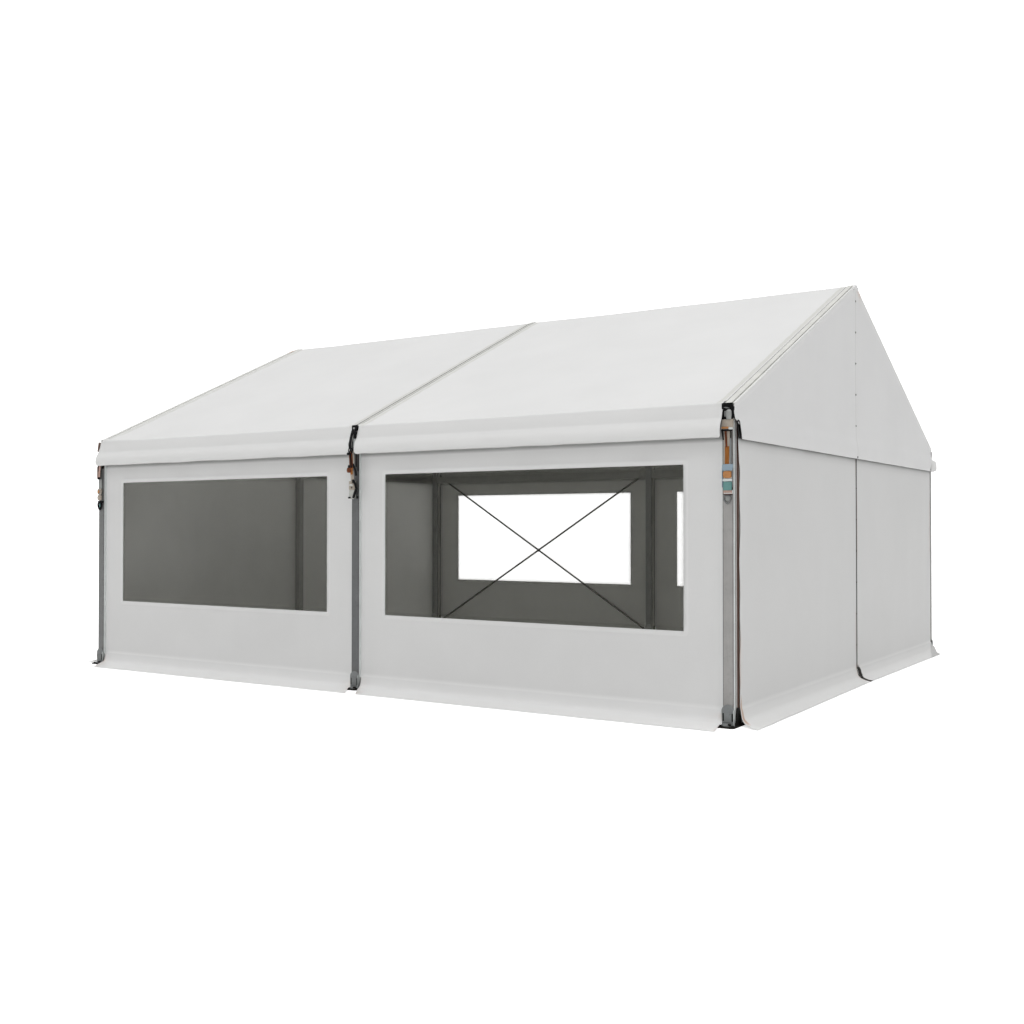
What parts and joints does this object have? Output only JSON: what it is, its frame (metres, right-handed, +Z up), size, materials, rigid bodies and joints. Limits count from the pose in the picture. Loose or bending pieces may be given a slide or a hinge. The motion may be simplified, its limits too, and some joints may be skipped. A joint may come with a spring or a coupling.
{
  "type": "marquee tent",
  "caption": "Frame marquee with a pitched fabric roof, windowed side walls, plain gable walls, ground skirts and strap tensioners at the eaves.",
  "frame": {"origin": "on the ground, at the middle of the tent's plan", "axes": "+X along the ridge towards the right-hand gable, -Y out of the front with the pictured windows, +Z up"},
  "size_m": [6.3306, 5.52, 3.1682],
  "materials": {
    "leg_and_rafter_aluminium": "mill finish extrusion, dull, lightly scuffed",
    "purlin_aluminium": "mill finish extrusion, dull",
    "foot_steel": "galvanised steel, worn, dark at the base plate",
    "tensioner": "black painted steel cap with webbing and a ratchet",
    "cable": "dull steel wire rope",
    "roof_fabric": "white coated polyester, satin",
    "wall_fabric": "white coated polyester, satin, lightly creased",
    "window_film": "smoky clear soft film, glossy"
  },
  "bodies": {
    "root": {"leg_front_left": "leg_and_rafter_aluminium", "leg_front_middle": "leg_and_rafter_aluminium", "leg_front_right": "leg_and_rafter_aluminium", "leg_back_left": "leg_and_rafter_aluminium", "leg_back_middle": "leg_and_rafter_aluminium", "leg_back_right": "leg_and_rafter_aluminium", "rafter_front_left": "leg_and_rafter_aluminium", "rafter_front_middle": "leg_and_rafter_aluminium", "rafter_front_right": "leg_and_rafter_aluminium", "rafter_back_left": "leg_and_rafter_aluminium", "rafter_back_middle": "leg_and_rafter_aluminium", "rafter_back_right": "leg_and_rafter_aluminium", "eave_purlin_front_left": "purlin_aluminium", "eave_purlin_front_right": "purlin_aluminium", "eave_purlin_back_left": "purlin_aluminium", "eave_purlin_back_right": "purlin_aluminium", "ridge_purlin_left": "purlin_aluminium", "ridge_purlin_right": "purlin_aluminium", "gable_post_left": "purlin_aluminium", "gable_post_right": "purlin_aluminium", "foot_front_left": "foot_steel", "foot_front_middle": "foot_steel", "foot_front_right": "foot_steel", "foot_back_left": "foot_steel", "foot_back_middle": "foot_steel", "foot_back_right": "foot_steel", "eave_tensioner_front_left": "tensioner", "eave_tensioner_front_middle": "tensioner", "eave_tensioner_front_right": "tensioner", "eave_tensioner_back_left": "tensioner", "eave_tensioner_back_middle": "tensioner", "eave_tensioner_back_right": "tensioner", "back_cable_rising": "cable", "back_cable_falling_upper": "cable", "back_cable_falling_lower": "cable", "roof_cover_left": "roof_fabric", "roof_cover_right": "roof_fabric", "front_wall_left": "wall_fabric", "front_wall_right": "wall_fabric", "back_wall_left": "wall_fabric", "back_wall_right": "wall_fabric", "gable_wall_left_front": "wall_fabric", "gable_wall_left_back": "wall_fabric", "gable_wall_right_front": "wall_fabric", "gable_wall_right_back": "wall_fabric", "gable_top_left": "wall_fabric", "gable_top_right": "wall_fabric", "front_window_left": "window_film", "front_window_right": "window_film", "back_window_left": "window_film", "back_window_right": "window_film"}
  },
  "joints": []
}
